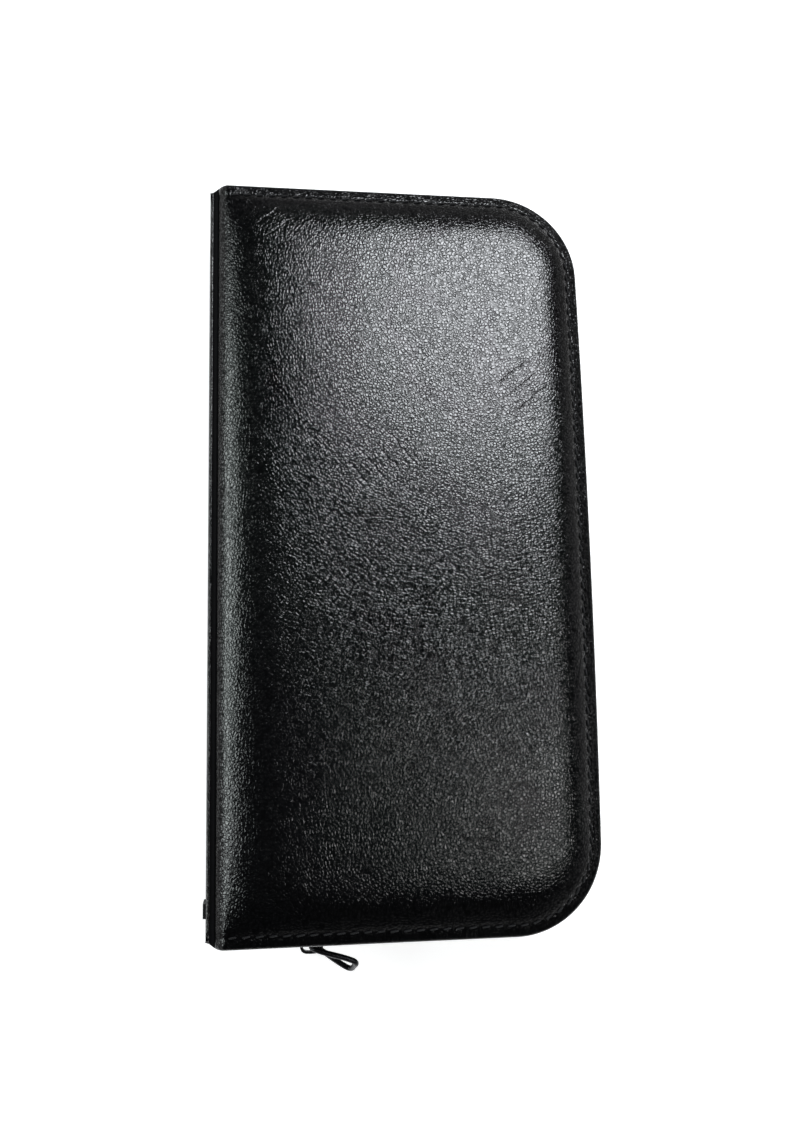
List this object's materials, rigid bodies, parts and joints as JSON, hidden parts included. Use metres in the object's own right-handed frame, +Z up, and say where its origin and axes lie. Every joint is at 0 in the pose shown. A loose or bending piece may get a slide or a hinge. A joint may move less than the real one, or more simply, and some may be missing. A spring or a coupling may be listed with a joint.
{
  "type": "fountain pen case",
  "caption": "Zip-around padded leather case that opens like a book, with elastic pen loops and a divider flap inside.",
  "frame": {"origin": "the rear cover's flat underside, which the closed case rests on, midway along its length and 45.35 mm from the spine's face", "axes": "+Z up from the rear cover to the front cover, +Y along the case towards its top end, +X from the spine towards the long zip edge"},
  "size_m": [0.0926, 0.1881, 0.03],
  "materials": {
    "leather": "black pebble-grained leather, soft satin sheen",
    "foam": "grey open-cell foam padding",
    "board": "grey fibreboard stiffener",
    "lining": "black brushed suede lining",
    "thread": "waxed polyester thread, dark grey",
    "tape": "woven polyester zip tape, black",
    "coil": "nylon zip coil, black",
    "elastic": "woven ribbed elastic, black",
    "metal": "black coated zinc and steel"
  },
  "bodies": {
    "rear_cover": {"rear_cover_leather": "leather", "rear_foam_pad": "foam", "rear_stiffener_board": "board", "rear_lining": "lining", "rear_edge_stitching": "thread", "rear_zip_tape": "tape", "rear_zip_coil": "coil", "rear_zip_top_stop": "metal", "zip_bottom_stop": "metal", "pen_loop_panel": "leather", "upper_pen_loops": "elastic", "lower_pen_loops": "elastic"},
    "spine": {"spine_leather": "leather", "spine_stiffener": "board", "spine_lining": "lining", "zip_tape_end_stub": "tape", "divider_hinge_strip": "leather"},
    "front_cover": {"front_cover_leather": "leather", "front_foam_pad": "foam", "front_stiffener_board": "board", "front_lining": "lining", "front_edge_stitching": "thread", "front_zip_tape": "tape", "front_zip_coil": "coil", "front_zip_top_stop": "metal", "front_slip_pocket": "leather"},
    "divider": {"divider_flap": "lining", "divider_edge_binding": "leather"},
    "slider": {"zip_slider_body": "metal", "zip_slider_bridge": "metal"},
    "pull": {"zip_pull": "metal"}
  },
  "joints": [
    {"name": "spine_fold", "type": "hinge", "parent": "rear_cover", "child": "spine", "pos_m": [-0.0446, 0, 0.00375], "axis": [0, -1, 0], "range_deg": [0, 90]},
    {"name": "front_fold", "type": "hinge", "parent": "spine", "child": "front_cover", "pos_m": [-0.0446, 0, 0.02625], "axis": [0, -1, 0], "range_deg": [0, 90]},
    {"name": "divider_fold", "type": "hinge", "parent": "spine", "child": "divider", "pos_m": [-0.041, 0, 0.0216], "axis": [0, -1, 0], "range_deg": [0, 27]},
    {"name": "zip_slide", "type": "slide", "parent": "rear_cover", "child": "slider", "axis": [1, 0, 0], "range_m": [0, 0.04]},
    {"name": "pull_swing", "type": "hinge", "parent": "slider", "child": "pull", "pos_m": [-0.0215, -0.0919, 0.015], "axis": [0, 0, -1], "range_deg": [-8, 150]}
  ],
  "couplings": [
    {"joint": "front_fold", "follows": "spine_fold", "ratio": 1},
    {"joint": "divider_fold", "follows": "spine_fold", "ratio": 0.3}
  ]
}
